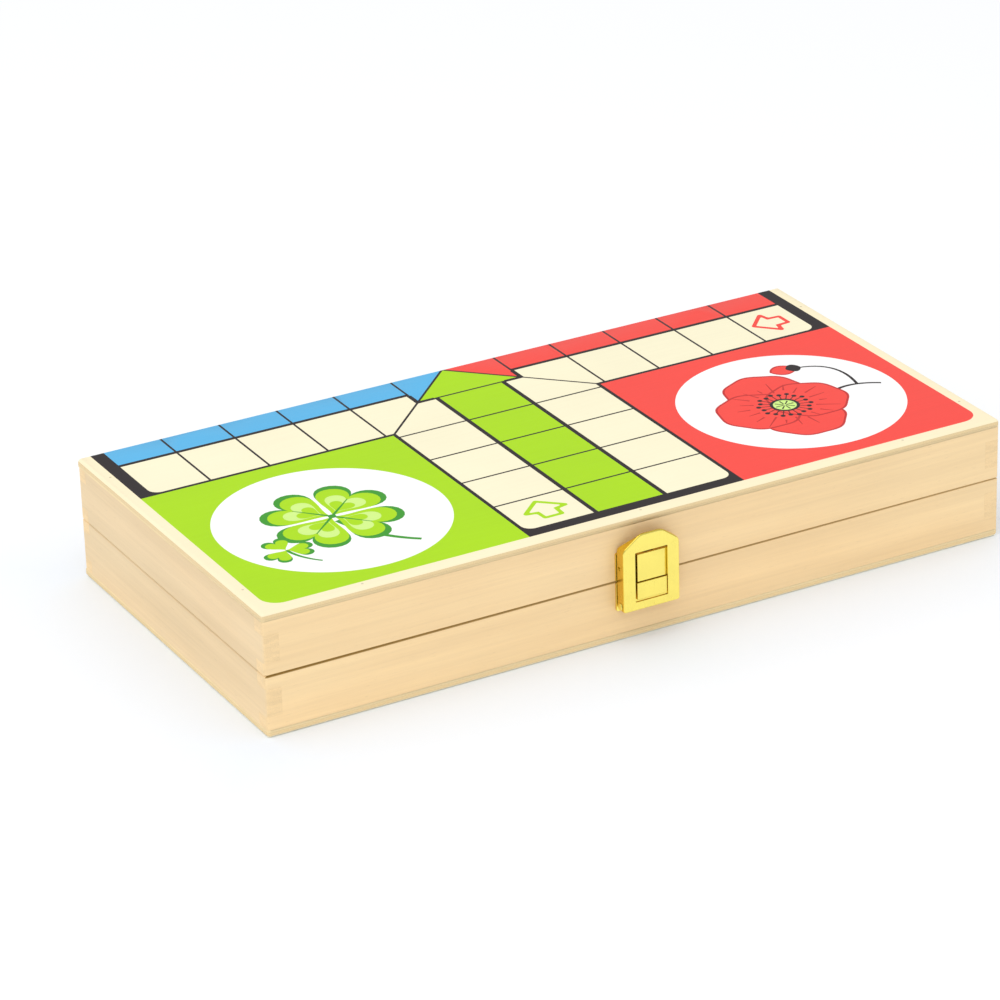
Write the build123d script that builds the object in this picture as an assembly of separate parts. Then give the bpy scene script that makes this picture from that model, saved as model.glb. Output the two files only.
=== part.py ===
from build123d import *
import os

# Folding ludo board box: two shallow wooden trays, hinged along the back edge.
# Closed, it is a flat case. Opened by half a turn, its two outer panels lie in one
# plane and form a square game board.
#
# Frame: origin at the centre of the base's bottom face, +X along the latch side,
# +Y from the latch to the hinges, +Z up. Every length is in millimetres.

# ------------------------------------------------------------ driving dimensions
# The trays, which mirror each other across the parting plane
case_length = 300.0           # along X
case_depth = 150.0            # along Y, half of the opened square board
half_height = 23.5            # one tray with its panel
wall_thickness = 6.0
panel_thickness = 3.0         # plywood glued over the walls
panel_round = 1.4             # rounded outer edge of the panel on its three free sides
hinge_edge_ease = 0.3         # broken edge of the panel at the hinges, where the print runs out
case_corner = 1.2             # upright corners
parting_ease = 0.45           # broken edge of the walls along the parting line
finger_height = 10.6          # middle finger of the corner joints, cut on the side walls

# Brads of square wire that pin each panel to its walls, set below the panel's face
brad_wire = 1.1
brad_length = 14.0
brad_set = 0.5                # filler over the brad's end
brad_edge = 3.4               # from the outer faces to the row of brads
brad_end_inset = 40.0         # from the ends of the long walls to their outermost brads
long_wall_brad_count = 3
side_brad_inset = 21.0        # from the ends of the short walls to their outermost brads
short_wall_brad_count = 2

# Butt hinges, with the barrel's axis where the back faces meet the parting plane
hinge_inset = 55.0            # from the ends of the case to the middle of each hinge
hinge_length = 25.0
leaf_width = 5.4              # from the barrel's axis to the leaf's free edge
leaf_thickness = 0.8
leaf_gap = 0.2                # between the closed leaves
leaf_corner = 0.8
barrel_diameter = 2.8
hinge_pin_diameter = 1.4
knuckle_count = 3             # odd, so the base leaf carries the outer ones
knuckle_gap = 0.15            # end play between knuckles

# Slotted screws of the hinges, countersunk through the leaf
screw_head_diameter = 2.8
screw_shank_diameter = 1.2
screw_length = 7.0
screw_pitch = 13.0
screw_from_axis = 3.5
screw_slot_width = 0.35
screw_slot_depth = 0.3

# Latch on the front face: a keeper on the lid, a bracket on the base and a swinging frame
latch_offset = -1.1           # from the middle of the front face
sheet = 0.8                   # thickness of every stamped part
foot_overhang = 0.25          # each side of the frame
foot_height = 11.2
foot_corner = 0.8
foot_gap = 0.08               # from the parting plane to each foot
pad_width = 12.1              # the keeper's pad
pad_offset = 0.9              # from the middle of the latch, to the right
pad_top = 10.7
pad_stand = 4.5               # front of the pad, out from the wood
pad_slot_width = 4.0          # slot in the pad's top
pad_slot_height = 2.6         # open enough to look in at the hollow
pad_slot_stand = 2.3          # middle of the slot, out from the wood
tongue_width = 12.1           # the bracket's tongue
tongue_offset = 0.45          # from the middle of the latch, to the right
tongue_drop = 6.5
tongue_stand = 5.1
press_round = 0.2             # outer bends of the pad and the tongue
frame_width = 23.0
frame_shoulder = 13.6         # where the shoulders start, above the parting plane
frame_top = 18.8
frame_top_width = 9.0
frame_drop = 10.4             # lowest edge, below the parting plane
frame_stand = 5.5             # front of the frame, out from the wood
frame_bend = 0.6              # bend between the frame's front and its flanges
frame_corner = 1.0            # lower corners
frame_shoulder_round = 3.0
frame_top_round = 5.0
window_width = 13.2
window_top = 12.1
window_drop = 7.1
window_corner = 0.4
flange_clearance = 0.4        # from the feet to the frame's flanges
detent_diameter = 1.6         # holes in the flanges
detent_height = 6.2
detent_stand = 2.6
pivot_drop = 8.4              # pivot axis, below the parting plane
pivot_stand = 3.2             # pivot axis, out from the wood
ear_radius = 1.3
ear_side_gap = 0.2            # between each ear and the frame's flange
rivet_diameter = 1.4
rivet_head_diameter = 2.6
rivet_head_height = 0.5
rivet_end_play = 0.1

# Nails of the keeper and the bracket, with round heads on square shanks
nail_wire = 1.0
nail_length = 5.0
nail_head_diameter = 2.0
nail_head_height = 0.5
nail_inset = 2.65             # from the sides of the foot
nail_height = 5.6             # from the parting plane

# Fits
barrel_room = 0.3             # radial, cleared around the hinge barrel
running_clearance = 0.05      # radial, of a pin in a part that turns on it

# ------------------------------------------------------------ derived places
parting_z = half_height
parting_plane = Plane.XY.offset(parting_z)
side_x = case_length / 2
front_y = -case_depth / 2
back_y = case_depth / 2
inner_x = side_x - wall_thickness
inner_front_y = front_y + wall_thickness
inner_back_y = back_y - wall_thickness
hinge_xs = [hinge_inset - side_x, side_x - hinge_inset]
leaf_top = parting_z - leaf_gap / 2
leaf_floor = leaf_top - leaf_thickness
latch_place = Plane(origin=(latch_offset, front_y, parting_z), x_dir=(1, 0, 0), z_dir=(0, -1, 0))
foot_width = frame_width + 2 * foot_overhang
nail_x = foot_width / 2 - nail_inset
flange_outer = frame_width / 2
flange_inner = flange_outer - sheet
flange_back = sheet + flange_clearance
frame_back = frame_stand - sheet
ear_outer = flange_inner - ear_side_gap
ear_inner = ear_outer - sheet
past = 1.0                    # how far a cutter runs past the face it opens


# ------------------------------------------------------------ helpers
def slab(x0, x1, y0, y1, z0, z1):
    """A box given by its limits."""
    return Pos((x0 + x1) / 2, (y0 + y1) / 2, (z0 + z1) / 2) * Box(x1 - x0, y1 - y0, z1 - z0)


def upright(x, y, z0, z1, diameter):
    """A cylinder along Z."""
    return Pos(x, y, (z0 + z1) / 2) * Cylinder(diameter / 2, z1 - z0)


def square_wire(x, y, z0, z1, width):
    """A square bar along Z."""
    return Pos(x, y, (z0 + z1) / 2) * Box(width, width, z1 - z0)


def crosswise(x0, x1, y, z, diameter):
    """A cylinder along X."""
    return Pos((x0 + x1) / 2, y, z) * Rot(0, 90, 0) * Cylinder(diameter / 2, x1 - x0)


def spread(low, high, count):
    """Evenly spaced places from low to high, both included."""
    return [low + (high - low) * i / (count - 1) for i in range(count)]


def on_lid(shape):
    """The same piece on the other side of the parting plane."""
    return mirror(shape, parting_plane)


def both_sides(shape):
    """A right-hand latch detail with its left-hand twin."""
    return [shape, mirror(shape, Plane.YZ)]


def save(name, *solids):
    """Writes one node as a STEP file."""
    shape = solids[0] if len(solids) == 1 else Compound(children=list(solids))
    shape.label = name
    export_step(shape, f"parts/{name}.step")


# ------------------------------------------------------------ brads
def brad_places():
    """Where the brads stand in plan: the long walls, then the short ones."""
    row_x = side_x - brad_edge
    row_y = back_y - brad_edge
    along = spread(brad_end_inset - side_x, side_x - brad_end_inset, long_wall_brad_count)
    across = spread(side_brad_inset - back_y, back_y - side_brad_inset, short_wall_brad_count)
    places = [(x, y) for y in (-row_y, row_y) for x in along]
    return places + [(x, y) for x in (-row_x, row_x) for y in across]


def panel_brads():
    """The brads of the base's panel."""
    top = brad_set + brad_length
    return [square_wire(x, y, brad_set, top, brad_wire) for x, y in brad_places()]


# ------------------------------------------------------------ hinges
def knuckle_spans(x):
    """The X limits of each knuckle of the hinge centred on x."""
    ends = spread(x - hinge_length / 2, x + hinge_length / 2, knuckle_count + 1)
    play = knuckle_gap / 2
    return [(a + play, b - play) for a, b in zip(ends, ends[1:])]


def screw_places(x):
    """Plan places of the screws in one leaf of the hinge centred on x."""
    y = back_y - screw_from_axis
    return [(x - screw_pitch / 2, y), (x + screw_pitch / 2, y)]


def screw_blank(x, y):
    """A countersunk screw with its head flush in the base's leaf, before its slot is cut."""
    head = Pos(x, y, leaf_top - leaf_thickness / 2) * Cone(
        screw_shank_diameter / 2, screw_head_diameter / 2, leaf_thickness)
    shank = upright(x, y, leaf_top - screw_length, leaf_floor, screw_shank_diameter)
    return head + shank


def hinge_screws():
    """The slotted screws of both base leaves."""
    screws = []
    for hinge_x in hinge_xs:
        for x, y in screw_places(hinge_x):
            slot = Pos(x, y, leaf_top) * Box(
                screw_head_diameter, screw_slot_width, 2 * screw_slot_depth)
            screws.append(screw_blank(x, y) - slot)
    return screws


def hinge_leaf(x, own_knuckles, bore):
    """A leaf let into the base's parting face, with the knuckles numbered in own_knuckles."""
    start = x - hinge_length / 2
    end = x + hinge_length / 2
    plate = slab(start, end, back_y - leaf_width, back_y, leaf_floor, leaf_top)
    leaf = fillet(plate.edges().filter_by(Axis.Z).group_by(Axis.Y)[0], leaf_corner)
    for number, (x0, x1) in enumerate(knuckle_spans(x)):
        if number in own_knuckles:
            leaf += crosswise(x0, x1, back_y, parting_z, barrel_diameter)
        else:
            room = barrel_diameter + 2 * barrel_room
            leaf -= crosswise(x0 - knuckle_gap, x1 + knuckle_gap, back_y, parting_z, room)
    leaf -= crosswise(start - past, end + past, back_y, parting_z, bore)
    for screw_x, screw_y in screw_places(x):
        leaf -= screw_blank(screw_x, screw_y)
    return leaf


def hinge_recesses():
    """Wood taken out of the base's back wall for its leaves, the barrels and the screws."""
    cutters = []
    for x in hinge_xs:
        start = x - hinge_length / 2
        end = x + hinge_length / 2
        room = barrel_diameter + 2 * barrel_room
        cutters.append(slab(start, end, back_y - leaf_width, back_y + past,
                            leaf_floor, parting_z + past))
        cutters.append(crosswise(start - barrel_room, end + barrel_room, back_y, parting_z, room))
        cutters += [screw_blank(*place) for place in screw_places(x)]
    return cutters


def hinge_pin(x):
    """The pin through all the knuckles of one hinge."""
    return crosswise(x - hinge_length / 2, x + hinge_length / 2, back_y, parting_z,
                     hinge_pin_diameter)


# ------------------------------------------------------------ latch
# Drawn in the latch's own frame: X along the case, Y up from the parting plane, Z out
# from the wood. A profile for a side plane is drawn as (up, out).
def foot(low, high):
    """The flat foot of the keeper or the bracket."""
    outline = Pos(0, (low + high) / 2) * Rectangle(foot_width, high - low)
    return extrude(fillet(outline.vertices(), foot_corner), sheet)


def pressed_boss(x, width, low, high, stand):
    """The outside and the hollow of a boss pressed out of a foot."""
    middle = Pos(x, (low + high) / 2)
    outside = extrude(middle * Rectangle(width, high - low), stand)
    bends = outside.edges().group_by(Axis.Z)[-1]
    inner = middle * Rectangle(width - 2 * sheet, high - low - 2 * sheet)
    return fillet(bends, press_round), extrude(inner, stand - sheet)


def nail_shanks(side):
    """The shanks of a foot's nails, above the parting plane (side 1) or below it (side -1)."""
    return both_sides(square_wire(nail_x, side * nail_height, sheet - nail_length, sheet, nail_wire))


def latch_nails(side):
    """The nails that hold a foot to the wood."""
    head = upright(nail_x, side * nail_height, sheet, sheet + nail_head_height, nail_head_diameter)
    return [shank + cap for shank, cap in zip(nail_shanks(side), both_sides(head))]


def keeper():
    """The lid's part, with the slotted pad that shows in the frame's window."""
    outside, hollow = pressed_boss(pad_offset, pad_width, foot_gap, pad_top, pad_stand)
    slot = Pos(0, pad_top - sheet / 2, pad_slot_stand) * Box(
        pad_slot_width, 2 * sheet, pad_slot_height)
    return foot(foot_gap, foot_gap + foot_height) + outside - hollow - slot - nail_shanks(1)


def bracket():
    """The base's part, with the tongue and the two ears that carry the frame."""
    outside, hollow = pressed_boss(
        tongue_offset, tongue_width, -tongue_drop, -foot_gap, tongue_stand)
    stem = Pos(-pivot_drop, pivot_stand / 2) * Rectangle(2 * ear_radius, pivot_stand)
    pivot = Pos(-pivot_drop, pivot_stand)
    profile = stem + pivot * Circle(ear_radius) - pivot * Circle(rivet_diameter / 2)
    ear = extrude(Plane.YZ.offset(ear_inner) * profile, sheet)
    body = foot(-foot_gap - foot_height, -foot_gap) + outside + both_sides(ear)
    return body - hollow - nail_shanks(-1)


def across(profile):
    """A cutter along X through the whole latch, from a profile drawn as (up, out)."""
    return extrude(Plane.YZ * profile, frame_width, both=True)


def frame_outlines():
    """The frame seen from the front: its outer outline, and the same inside the flanges."""
    half = frame_width / 2
    half_top = frame_top_width / 2
    sharp = make_face(Polyline(
        (-half, -frame_drop), (-half, frame_shoulder), (-half_top, frame_top),
        (half_top, frame_top), (half, frame_shoulder), (half, -frame_drop), close=True))
    inside = offset(sharp, -sheet, kind=Kind.INTERSECTION)
    top = sharp.vertices().group_by(Axis.Y)[-1]
    outline = fillet(top, frame_top_round)
    outline = fillet(outline.vertices().group_by(Axis.Y)[1], frame_shoulder_round)
    outline = fillet(outline.vertices().group_by(Axis.Y)[0], frame_corner)
    return outline, inside


def flange_trim():
    """Takes the flanges away over the top, tapering from the shoulders up."""
    taper = make_face(Polyline(
        (frame_shoulder, flange_back - past), (frame_shoulder, flange_back),
        (frame_top - sheet, frame_back), (frame_top + past, frame_back),
        (frame_top + past, flange_back - past), close=True))
    return across(taper)


def heel_trim():
    """Rounds the flanges' heels about the pivot, so that they clear the bracket's foot."""
    heel = pivot_stand - flange_back
    corner = Pos(-pivot_drop - heel, pivot_stand - heel) * Rectangle(2 * heel, 2 * heel)
    return across(corner - Pos(-pivot_drop, pivot_stand) * Circle(heel))


def latch_frame():
    """The swinging frame: a front plate with a window, and flanges folded back beside it."""
    outline, inside = frame_outlines()
    hood = Pos(0, 0, flange_back) * extrude(outline, frame_stand - flange_back)
    hood = fillet(hood.faces().sort_by(Axis.Z)[-1].edges(), frame_bend)
    hollow = Pos(0, 0, flange_back) * extrude(inside, frame_back - flange_back)
    open_foot = slab(-flange_inner, flange_inner, -frame_drop - past, 0, flange_back - past, frame_back)
    window = Pos(0, (window_top - window_drop) / 2) * Rectangle(
        window_width, window_top + window_drop)
    window = extrude(fillet(window.vertices(), window_corner), frame_stand + past)
    pivot_hole = across(Pos(-pivot_drop, pivot_stand) * Circle(rivet_diameter / 2 + running_clearance))
    detent = across(Pos(detent_height, detent_stand) * Circle(detent_diameter / 2))
    return hood - hollow - open_foot - window - flange_trim() - heel_trim() - pivot_hole - detent


def latch_rivets():
    """The rivets that the frame turns on, peened flush inside the bracket's ears."""
    shoulder = flange_outer + rivet_end_play
    shank = crosswise(ear_inner, shoulder, -pivot_drop, pivot_stand, rivet_diameter)
    head = crosswise(shoulder, shoulder + rivet_head_height, -pivot_drop, pivot_stand,
                     rivet_head_diameter)
    return both_sides(shank + head)


# ------------------------------------------------------------ the base's walls and panel
finger_low = panel_thickness + (half_height - panel_thickness - finger_height) / 2
finger_high = finger_low + finger_height


def wall_ring():
    """All four walls of the base in one piece, with the parting edge broken."""
    outside = slab(-side_x, side_x, front_y, back_y, panel_thickness, parting_z)
    outside = fillet(outside.edges().filter_by(Axis.Z), case_corner)
    outside = chamfer(outside.faces().sort_by(Axis.Z)[-1].edges(), parting_ease)
    return outside - slab(-inner_x, inner_x, inner_front_y, inner_back_y, 0, parting_z + past)


def side_zone(side):
    """The room of one side wall with its fingers: side is -1 for the left, 1 for the right."""
    x0, x1 = sorted((side * inner_x, side * side_x))
    between = slab(x0, x1, inner_front_y, inner_back_y, panel_thickness, parting_z)
    return between + slab(x0, x1, front_y, back_y, finger_low, finger_high)


def base_walls():
    """The base's four walls by name, jointed at the corners and cut for the fittings."""
    ring = wall_ring()
    left_zone = side_zone(-1)
    right_zone = side_zone(1)
    long_walls = ring - left_zone - right_zone
    front_wall, back_wall = long_walls.solids().sort_by(Axis.Y)
    walls = {
        "front_wall": front_wall - [latch_place * hole for hole in nail_shanks(-1)],
        "back_wall": back_wall - hinge_recesses(),
        "left_wall": ring & left_zone,
        "right_wall": ring & right_zone,
    }
    return {name: wall - panel_brads() for name, wall in walls.items()}


def base_panel():
    """The outer panel, with its printed face down and that face's free edges rounded."""
    panel = slab(-side_x, side_x, front_y, back_y, 0, panel_thickness)
    panel = fillet(panel.edges().filter_by(Axis.Z).group_by(Axis.Y)[0], case_corner)
    rim = panel.faces().sort_by(Axis.Z)[0].edges().group_by(Axis.Y)
    free_edges = [edge for row in rim[:-1] for edge in row]
    panel = fillet(free_edges, panel_round)
    hinge_edge = panel.faces().sort_by(Axis.Z)[0].edges().group_by(Axis.Y)[-1]
    return chamfer(hinge_edge, hinge_edge_ease) - panel_brads()


# ------------------------------------------------------------ nodes
os.makedirs("parts", exist_ok=True)
wood = base_walls()
wood["panel"] = base_panel()
for piece, shape in wood.items():
    save("base_" + piece, shape)

for piece, shape in wood.items():
    save("lid_" + piece, on_lid(shape))

save("base_panel_brads", *panel_brads())
save("lid_panel_brads", *[on_lid(brad) for brad in panel_brads()])

outer_knuckles = range(0, knuckle_count, 2)
inner_knuckles = range(1, knuckle_count, 2)
free_bore = hinge_pin_diameter + 2 * running_clearance
for side, x in zip(("left", "right"), hinge_xs):
    save(f"{side}_hinge_base_leaf", hinge_leaf(x, outer_knuckles, hinge_pin_diameter))
    save(f"{side}_hinge_lid_leaf", on_lid(hinge_leaf(x, inner_knuckles, free_bore)))
    save(f"{side}_hinge_pin", hinge_pin(x))
save("hinge_base_screws", *hinge_screws())
save("hinge_lid_screws", *[on_lid(screw) for screw in hinge_screws()])

save("latch_keeper", latch_place * keeper())
save("latch_bracket", latch_place * bracket())
save("latch_frame", latch_place * latch_frame())
save("latch_rivets", *[latch_place * rivet for rivet in latch_rivets()])
save("latch_keeper_nails", *[latch_place * nail for nail in latch_nails(1)])
save("latch_bracket_nails", *[latch_place * nail for nail in latch_nails(-1)])
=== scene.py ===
import bmesh
import bpy
import math
from mathutils import Matrix, Vector
from mathutils.geometry import delaunay_2d_cdt


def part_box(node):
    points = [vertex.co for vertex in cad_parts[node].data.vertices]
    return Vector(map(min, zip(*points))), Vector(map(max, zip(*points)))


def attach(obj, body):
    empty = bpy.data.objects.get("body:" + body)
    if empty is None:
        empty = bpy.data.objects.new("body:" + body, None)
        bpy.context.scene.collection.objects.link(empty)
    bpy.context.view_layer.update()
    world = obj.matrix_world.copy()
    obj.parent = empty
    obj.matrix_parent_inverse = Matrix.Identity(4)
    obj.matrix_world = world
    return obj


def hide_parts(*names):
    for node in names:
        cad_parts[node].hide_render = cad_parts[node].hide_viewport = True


# Folding ludo board box: the finish of its wood, print and brass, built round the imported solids.
# Lengths are in metres. The board's print is laid out in board coordinates: the origin is the
# middle of the opened board, X runs along the hinge and Y from the lid's half to the base's.

bl_info = {
    "name": "Folding ludo board box",
    "version": (1, 0, 0),
    "blender": (4, 5, 0),
    "location": "3D View > Sidebar > Ludo box",
    "description": "Dresses the folding ludo board box in wood, screen print and brass",
    "category": "Object",
}

MM = 0.001
WELD = 0.002 * MM               # vertices of a solid's mesh that lie nearer than this are one
SAME_POINT = 1e-8               # and so are corners of the print's outlines, in metres
BASE = "base"
LID = "lid"
PRIMER_TURN = 0.4               # Z of the rounded edge's normal where the primer ends
SENSOR_WIDTH = 36.0             # millimetres, of the camera whose lens the stage gives

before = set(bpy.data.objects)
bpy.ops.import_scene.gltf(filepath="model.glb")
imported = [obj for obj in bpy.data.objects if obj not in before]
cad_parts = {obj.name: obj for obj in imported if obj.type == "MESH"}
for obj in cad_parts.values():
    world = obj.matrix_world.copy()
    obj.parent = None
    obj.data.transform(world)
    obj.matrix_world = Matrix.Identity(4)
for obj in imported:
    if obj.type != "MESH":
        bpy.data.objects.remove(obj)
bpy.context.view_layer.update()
case_low, case_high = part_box("base_panel")      # as long and as deep as the whole case
panel_thickness = case_high.z - case_low.z
hinge_y = case_high.y
base_face_z = case_low.z
lid_face_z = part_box("lid_panel")[1].z
parting_z = (base_face_z + lid_face_z) / 2


def linear(code):
    """The scene-linear colour of an sRGB hex code."""
    channels = [int(code[i:i + 2], 16) / 255 for i in (0, 2, 4)]
    return [c / 12.92 if c <= 0.04045 else ((c + 0.055) / 1.055) ** 2.4 for c in channels]


def length(name, description, millimetres):
    """A property that holds a length."""
    return bpy.props.FloatProperty(
        name=name, description=description, default=millimetres * MM, min=0.0, unit="LENGTH",
        precision=5)


def amount(name, description, default, **kind):
    """A property that holds a number, not below zero."""
    return bpy.props.FloatProperty(
        name=name, description=description, default=default, min=0.0, **kind)


def angle(name, description, degrees):
    """A property that holds an angle."""
    return bpy.props.FloatProperty(
        name=name, description=description, default=math.radians(degrees), subtype="ANGLE")


def position(name, description, where):
    """A property that holds a place in metres."""
    return bpy.props.FloatVectorProperty(
        name=name, description=description, default=where, subtype="TRANSLATION", unit="LENGTH")


def colour(name, description, code):
    """A property that holds a colour, given as an sRGB hex code."""
    return bpy.props.FloatVectorProperty(
        name=name, description=description, default=linear(code), min=0.0, max=1.0,
        size=3, subtype="COLOR")


# ------------------------------------------------------------ what a user may change
class LUDOBOX_PrintSettings(bpy.types.PropertyGroup):
    """Layout and inks of the board's print"""
    margin: length("Margin", "Bare border between the print and the panel's edge", 4.9)
    band: length("End band", "Dark band across the end of each arm", 5.28)
    arm_edge: length("Arm edge", "From the board's middle to the outer edge of an arm", 43.68)
    arm_line: length("Arm line", "Width of the lines along the arms' outer edges", 1.5)
    lane_line: length("Lane line", "Width of the lines beside the middle lane", 1.8)
    row_line: length("Row line", "Width of the lines between squares", 0.9)
    lane_edge: length("Lane edge", "From the board's middle to the middle lane's line", 14.07)
    home_edge: length("Home edge", "From the board's middle to the home square's side", 22.0)
    first_row: length("First row", "From the board's middle to the first line across an arm", 46.17)
    row_pitch: length("Row pitch", "From one line across an arm to the next", 23.63)
    yard_corner: length("Yard corner", "Radius of each yard's outer corner", 7.0)
    end_corner: length("End corner", "Radius of the corner of an arm's last square", 4.0)
    disc: length("Disc", "Radius of the white disc in each yard", 42.7)
    disc_middle: length("Disc middle", "From the board's middle lines to each disc's middle", 95.1)
    arrow_line: length("Arrow line", "Width of the start arrow's line", 1.65)
    arrow_shift: length("Arrow shift", "From the square's middle to the arrow's, to its right", 0.6)
    filler: length("Filler", "Radius of a filled brad hole", 0.5)
    green: colour("Green", "Green player's ink", "ACDE00")
    red: colour("Red", "Red player's ink", "F94C43")
    yellow: colour("Yellow", "Yellow player's ink", "FFDB2C")
    blue: colour("Blue", "Blue player's ink", "5AB6E8")
    line: colour("Lines", "Ink of the lines and the end bands", "2B2426")
    square: colour("Squares", "Ink of the open squares", "FAF3D2")
    ground: colour("Ground", "Primer under the print, bare along the edges", "FCEFCB")
    white: colour("Disc white", "Ink of the discs in the yards", "FFFFFF")


class LUDOBOX_WoodSettings(bpy.types.PropertyGroup):
    """Colours and edges of the walls and the panels"""
    long_wall: colour("Long walls", "Basswood of the front and the back walls", "F9DAA8")
    short_wall: colour("Short walls", "Basswood of the side walls", "EDD4A9")
    end_grain: colour("End grain", "Cut ends of the basswood boards", "F1D3A1")
    # The seam settings paint shade: a darker brown along the parting line stands for the shade in
    # the groove between the trays. It is stronger on the long walls and at the left end, where more
    # shade falls.
    seam: colour("Seam", "Raw edges where the two trays meet", "9A752A")
    seam_width: length("Seam width", "How far the raw edges' tone reaches in from the faces", 0.5)
    seam_height: length("Seam height", "How far its full tone reaches up and down", 0.28)
    seam_fade: length("Seam fade", "How far up and down it has faded away", 0.52)
    seam_long: amount("Seam on long walls", "Strength of its tone in front and behind", 0.76)
    seam_short: amount("Seam on short walls", "Strength of its tone at the sides", 0.1)
    seam_left: amount("Seam at the left", "Share of its height and tone at the left end", 1.3)
    seam_right: amount("Seam at the right", "Share of its height and tone at the right end", 0.75)
    veneer: colour("Veneer", "Outer veneers of the plywood panels", "F8E0AE")
    core: colour("Core", "Middle veneer of the plywood panels", "F1D7A4")
    core_thickness: length("Core thickness", "Of the panels' middle veneer", 1.1)
    glue_thickness: length("Glue thickness", "Of the glue line on each side of the core", 0.1)
    edge_round: length("Edge rounding", "Sanded edges of the boards", 0.11)


class LUDOBOX_MetalSettings(bpy.types.PropertyGroup):
    """Colours of the metals, and sizes of the fasteners that the solids only stand for"""
    latch: colour("Latch", "Bright brass plate of the latch", "FFEF7C")
    hinge: colour("Hinges", "Solid brass of the hinges and their screws", "E3BF62")
    steel: colour("Steel", "Drawn steel wire", "9A9A98")
    edge_round: length("Edge rounding", "Rounded edges of the stamped parts", 0.1)
    nail_crown: length("Nail crown", "Height of the nails' domed heads", 0.5)
    nail_shank: length("Nail shank", "Width of the nails' square shanks", 1.0)
    rivet_crown: length("Rivet crown", "Height of the rivets' domed heads", 0.5)
    rivet_shank: length("Rivet shank", "Width of the rivets' shanks", 0.95)
    screw_shank: length("Screw shank", "Diameter of the hinge screws below the head", 1.2)
    slot_width: length("Slot width", "Width of the hinge screws' slots", 0.4)
    slot_depth: length("Slot depth", "Depth of the hinge screws' slots", 0.32)


class LUDOBOX_StageSettings(bpy.types.PropertyGroup):
    """Camera, floor and light"""
    camera_place: position("Camera", "Place of the camera", (-0.7204, -1.3043, 0.7175))
    camera_azimuth: angle("Azimuth", "Turn of the camera about Z", -28.33)
    camera_elevation: angle("Elevation", "Camera's look down from level", 24.99)
    camera_roll: angle("Roll", "Camera's tilt about its line of sight", -1.76)
    camera_lens: amount("Lens", "Focal length on a 36 mm sensor", 161.95,
                        subtype="DISTANCE_CAMERA")
    floor: colour("Floor", "Pale floor under the box", "F9FAFC")
    # Painted shadow: the floor is darker and cooler beside the box, and the cool tint also cancels
    # the warm light that the wood casts on it.
    floor_shadow: colour("Floor by the box", "Cooler, so that the wood's glow on it stays grey",
                       "EEF4FC")
    floor_gap: length("Floor gap", "Between the box's underside and the floor", 0.02)
    floor_half: length("Floor half", "Half of the floor's width", 6000)
    floor_shadow_start: length("Glow start", "From the box to where the cooler paper starts to fade", 8)
    floor_shadow_end: length("Glow end", "From the box to where the cooler paper ends", 80)
    floor_lift: amount("Floor lift", "Light added to the floor that the camera sees", 0.02)
    sky_strength: amount("Sky", "Strength of the even light from all round", 0.9)
    sky_sheen: amount("Sky sheen", "Strength of the sky mirrored in the pieces", 0.6)
    key_power: amount("Key light", "Power of the large soft lamp", 7.5, unit="POWER")
    key_size: length("Key size", "Width of the large soft lamp", 1400)
    key_place: position("Key place", "Place of the large soft lamp", (-0.7, -0.35, 1.5))


# ------------------------------------------------------------ nodes and materials
def socket(sockets, key):
    """A socket by its place, its identifier or else its name."""
    if isinstance(key, int):
        return sockets[key]
    found = [s for s in sockets if s.identifier == key] or [s for s in sockets if s.name == key]
    return found[0]


def add_node(tree, kind, inputs=(), **settings):
    """Adds a node with its settings and its inputs, given in order or by key.

    An input is a value, an output socket, or a node, which stands for the first output that its
    settings leave in use.
    """
    node = tree.nodes.new(kind)
    for name, value in settings.items():
        setattr(node, name, value)
    for key, value in inputs.items() if isinstance(inputs, dict) else enumerate(inputs):
        target = socket(node.inputs, key)
        if isinstance(value, bpy.types.Node):
            value = next(s for s in value.outputs if s.enabled)
        if isinstance(value, bpy.types.NodeSocket):
            tree.links.new(value, target)
        else:
            target.default_value = value
    return node


def shade(rgb, factor=1.0):
    """A colour made darker, or lighter above 1, with the alpha that sockets ask for."""
    return (*(min(1.0, c * factor) for c in rgb[:3]), 1.0)


def start_material(name):
    """An empty material with its node tree and the object's own coordinates."""
    material = bpy.data.materials.new(name)
    material.use_nodes = True
    tree = material.node_tree
    tree.nodes.clear()
    place = add_node(tree, "ShaderNodeTexCoord")
    return material, tree, place


def stretched_noise(tree, place, sizes, low=0.3, high=0.7, detail=2.0):
    """Noise with features of the given size along X, Y and Z, spread from 0 at low to 1 at high."""
    mapping = add_node(tree, "ShaderNodeMapping", {
        "Vector": place.outputs["Object"], "Scale": [1 / size for size in sizes]})
    noise = add_node(tree, "ShaderNodeTexNoise", {
        "Vector": mapping, "Scale": 1.0, "Detail": detail})
    return add_node(tree, "ShaderNodeMapRange", {
        "Value": noise, "From Min": low, "From Max": high})


def along_grain(axis, run, across):
    """Feature sizes for a board whose grain runs along the axis."""
    sizes = [across, across, across]
    sizes[axis] = run
    return sizes


def toned(tree, factor, rgb, start, end):
    """A finish's colour, running from one brightness to another with a factor."""
    return add_node(tree, "ShaderNodeMix", {
        "Factor_Float": factor, "A_Color": shade(rgb, start), "B_Color": shade(rgb, end)},
        data_type="RGBA")


def weighted_sum(tree, *parts):
    """Several patterns added up, each with its weight."""
    total = 0.0
    for value, weight in parts:
        total = add_node(tree, "ShaderNodeMath", (value, weight, total),
                         operation="MULTIPLY_ADD")
    return total


def apart_from(tree, value, level):
    """How far a value lies from a level, either way."""
    off = add_node(tree, "ShaderNodeMath", (value, level), operation="SUBTRACT")
    return add_node(tree, "ShaderNodeMath", (off,), operation="ABSOLUTE")


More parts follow.
